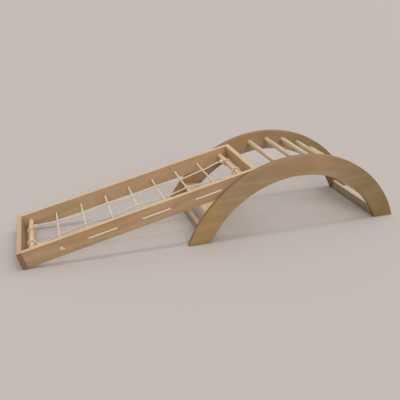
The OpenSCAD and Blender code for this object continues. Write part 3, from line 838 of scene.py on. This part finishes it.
# %% Screw steel
TURNING = 900.0                    # marks to the metre
BRIGHT, DULLED = 0.2, 0.3          # roughness between the marks, and how much more they have
screw_steel, tree, shader = start_material("screw_steel", roughness=0.32, gloss=0.5)
place = put(tree, "ShaderNodeTexCoord").outputs["Object"]
wear = put(tree, "ShaderNodeTexNoise", None, Vector=place, Scale=TURNING, Detail=3.0,
           Roughness=0.6).outputs["Fac"]
shader.inputs["Metallic"].default_value = 1.0
tree.links.new(mix_colour(tree, wear, rgb(206, 204, 198), rgb(158, 154, 146)),
               shader.inputs["Base Color"])
tree.links.new(maths(tree, "MULTIPLY_ADD", wear, DULLED, BRIGHT), shader.inputs["Roughness"])
dress("foot_board_screws", screw_steel)
print("screws dressed")

# %% [markdown]
# ## Cotton rope
# The cord is unbleached cotton: matt, cream, with soft fibres that run nearly straight along the rope
# while the strands go round. The numbers left on each rope point say where it is round the rope and how
# far along, so a noise on them follows every bend and has no seam. Hand marks darken it as they do
# the wood.

# %% Cord
THREADS = (7.0, 7.0, 260.0)        # cycles of the noise: two ways in a rope's radius, and along a metre
CREAM = (rgb(238, 230, 212), rgb(214, 200, 176))
SHADED = (0.3, 0.75)               # of the threads' noise: the paler cream to here, the darker from here
WORN, WORN_SHARE = rgb(190, 164, 126), 0.2
FUZZ = 0.0003                      # metres
cotton, tree, shader = start_material("cord", roughness=0.9, gloss=0.15)
way = put(tree, "ShaderNodeAttribute", {"attribute_name": "way"}).outputs["Vector"]
place = put(tree, "ShaderNodeTexCoord").outputs["Object"]
spun = put(tree, "ShaderNodeVectorMath", {"operation": "MULTIPLY"}, i0=way, i1=THREADS)
threads = put(tree, "ShaderNodeTexNoise", None, Vector=spun.outputs[0], Scale=1.0, Detail=3.0,
              Roughness=0.6).outputs["Fac"]
touch = use_group(tree, handling, Vector=place)
cream = mix_colour(tree, smooth_step(tree, threads, *SHADED), *CREAM)
cream = mix_colour(tree, maths(tree, "MULTIPLY", touch["Smudge"], WORN_SHARE), cream, WORN)
tree.links.new(cream, shader.inputs["Base Color"])
shader.inputs["Sheen Weight"].default_value = 0.25
shader.inputs["Sheen Roughness"].default_value = 0.5
bump(tree, shader, threads, FUZZ)
for piece in rope_pieces:
    piece.data.materials.append(cotton)
print("rope pieces dressed:", len(rope_pieces))

# %% [markdown]
# ## Floor
# A plain pale floor, set down where the feet stand. It takes the shadow and sends light back up under
# the arch, which is what makes the insides of the boards warm in the photo.

# %% Floor
HALF = 20                          # metres from the middle to an edge
floor_mesh = bpy.data.meshes.new("floor")
floor_mesh.from_pydata([(-HALF, -HALF, 0), (HALF, -HALF, 0), (HALF, HALF, 0), (-HALF, HALF, 0)], [],
                       [(0, 1, 2, 3)])
floor = bpy.data.objects.new("floor", floor_mesh)
bpy.context.scene.collection.objects.link(floor)
floor_mat, tree, shader = start_material("floor", roughness=0.8, gloss=0.2)
shader.inputs["Base Color"].default_value = rgb(196, 192, 190)
floor_mesh.materials.append(floor_mat)
print("floor laid:", 2 * HALF, "m square")

# %% [markdown]
# ## Light
# In the photo a thin shadow lies straight under each side board, and the rungs' shadows are smeared into
# one another. So one lamp overhead is long the way the ramp runs and narrow across it. An area lamp of that
# shape would leave a bright patch on the floor, and suns light it evenly out to the horizon, so the long
# lamp is a row of five suns that lean a little more each. A wide sun from the right keeps the faces towards
# the ramp's foot darkest, and one in front lifts the faces towards the camera. The room's own light is
# the lit floor's colour, so from any side the floor runs into it without a line.

# %% Light
ROOM_COLOUR, ROOM_STRENGTH = (0.98, 0.89, 0.83, 1), 0.57
LAMP_COLOUR = (1.0, 0.99, 0.97)
LEANS = (-16, -8, 0, 8, 16)        # degrees from straight down, for the five suns of the long lamp
world = bpy.data.worlds.new("room")
bpy.context.scene.world = world
world.use_nodes = True
background = world.node_tree.nodes["Background"].inputs
background["Color"].default_value = ROOM_COLOUR
background["Strength"].default_value = ROOM_STRENGTH


def wide_sun(name, comes_from, strength, spread):
    """A sun that shines from a direction, as wide as spread degrees, which is how soft it is."""
    lamp_data = bpy.data.lights.new(name, "SUN")
    lamp_data.energy = strength
    lamp_data.angle = math.radians(spread)
    lamp_data.color = LAMP_COLOUR
    lamp = bpy.data.objects.new(name, lamp_data)
    lamp.rotation_euler = Vector(comes_from).to_track_quat("Z", "Y").to_euler()
    bpy.context.scene.collection.objects.link(lamp)


for lean in LEANS:
    wide_sun("long_lamp", (math.tan(math.radians(lean)), 0, 1), strength=0.12, spread=10)
wide_sun("right", (0.6, 0.1, 1.0), strength=0.49, spread=60)
wide_sun("front", (0.1, -1.0, 0.6), strength=0.77, spread=30)

# %% [markdown]
# ## View
# Standard view keeps the colours as they were written.

# %% View
bpy.context.scene.view_settings.view_transform = "Standard"
